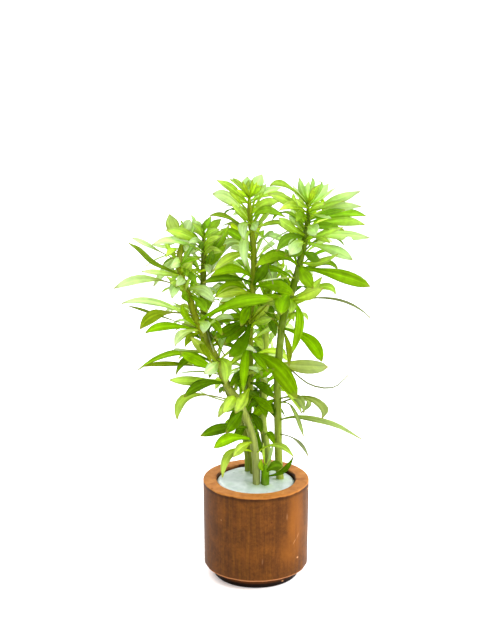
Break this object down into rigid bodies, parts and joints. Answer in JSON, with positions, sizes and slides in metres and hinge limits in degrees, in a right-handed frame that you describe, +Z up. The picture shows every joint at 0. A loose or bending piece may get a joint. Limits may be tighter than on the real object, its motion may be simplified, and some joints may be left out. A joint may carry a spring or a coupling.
{
  "type": "potted aquarium plant",
  "caption": "Potted aquarium stem plant: narrow-leaved green shoots rising from a white rooting gel in a straight turned wooden cup with a recessed foot.",
  "frame": {"origin": "centre of the flat foot that the pot stands on", "axes": "+Z up along the pot's axis; the picture looks along +Y, with +X to the right"},
  "size_m": [0.1531, 0.1001, 0.2611],
  "materials": {
    "stained_wood": "satin stained wood with vertical grain",
    "rooting_gel": "milky wet gel",
    "stem": "smooth, slightly waxy plant stem",
    "leaf": "thin, slightly waxy green leaf"
  },
  "bodies": {
    "root": {"back_stem": "stem", "centre_leaf_01": "leaf", "centre_leaf_02": "leaf", "centre_leaf_03": "leaf", "centre_leaf_04": "leaf", "centre_leaf_05": "leaf", "centre_leaf_06": "leaf", "centre_leaf_07": "leaf", "centre_leaf_08": "leaf", "centre_leaf_09": "leaf", "centre_leaf_10": "leaf", "centre_leaf_11": "leaf", "centre_leaf_12": "leaf", "centre_leaf_13": "leaf", "centre_leaf_14": "leaf", "centre_stem": "stem", "front_leaf_01": "leaf", "front_leaf_02": "leaf", "front_leaf_03": "leaf", "front_leaf_04": "leaf", "front_leaf_05": "leaf", "front_leaf_06": "leaf", "front_leaf_07": "leaf", "front_leaf_08": "leaf", "front_leaf_09": "leaf", "front_leaf_10": "leaf", "front_leaf_11": "leaf", "front_leaf_12": "leaf", "front_leaf_13": "leaf", "front_leaf_14": "leaf", "front_stem": "stem", "left_leaf_01": "leaf", "left_leaf_02": "leaf", "left_leaf_03": "leaf", "left_leaf_04": "leaf", "left_stem": "stem", "pot": "stained_wood", "right_leaf_01": "leaf", "right_leaf_02": "leaf", "right_leaf_03": "leaf", "right_leaf_04": "leaf", "right_leaf_05": "leaf", "right_leaf_06": "leaf", "right_leaf_07": "leaf", "right_leaf_08": "leaf", "right_leaf_09": "leaf", "right_leaf_10": "leaf", "right_leaf_11": "leaf", "right_leaf_12": "leaf", "right_leaf_13": "leaf", "right_leaf_14": "leaf", "right_leaf_15": "leaf", "right_leaf_16": "leaf", "right_leaf_17": "leaf", "right_leaf_18": "leaf", "right_stem": "stem", "rooting_gel": "rooting_gel", "sprout": "stem"}
  },
  "joints": []
}
